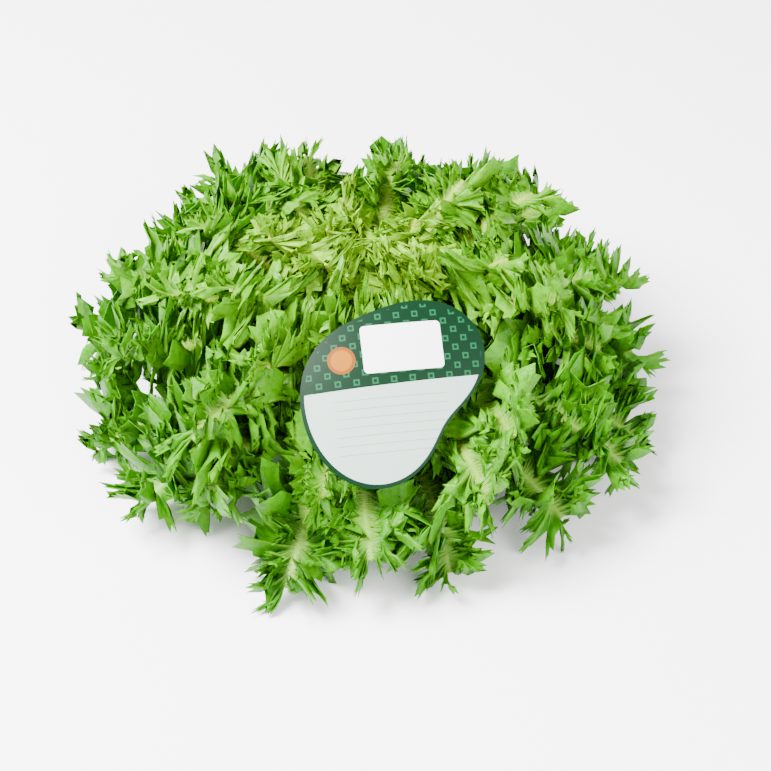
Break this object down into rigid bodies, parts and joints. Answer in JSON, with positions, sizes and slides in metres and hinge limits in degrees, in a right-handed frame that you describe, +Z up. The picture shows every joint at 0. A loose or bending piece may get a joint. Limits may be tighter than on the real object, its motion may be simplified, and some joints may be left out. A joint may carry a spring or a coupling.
{
  "type": "curly endive head",
  "caption": "Whole curly endive head resting on its cut stem, with layers of frilly toothed leaves from dark outer to pale heart and a plain card label on one side.",
  "frame": {"origin": "centre of the stem's flat cut face, on which the head stands", "axes": "+Z up along the stem, -Y towards the side that carries the label"},
  "size_m": [0.2969, 0.296, 0.1253],
  "materials": {
    "stem": "moist cut stem, cream with pale green",
    "outer_leaf": "fresh leaf, dark green, soft sheen",
    "middle_leaf": "fresh leaf, mid green, soft sheen",
    "inner_leaf": "fresh leaf, light green, soft sheen",
    "heart_leaf": "tender leaf, yellow green, soft sheen",
    "label_card": "coated card, satin print"
  },
  "bodies": {
    "root": {"cut_stem": "stem", "outer_leaves": "outer_leaf", "middle_leaves": "middle_leaf", "inner_leaves": "inner_leaf", "heart_leaves": "heart_leaf", "label": "label_card"}
  },
  "joints": []
}
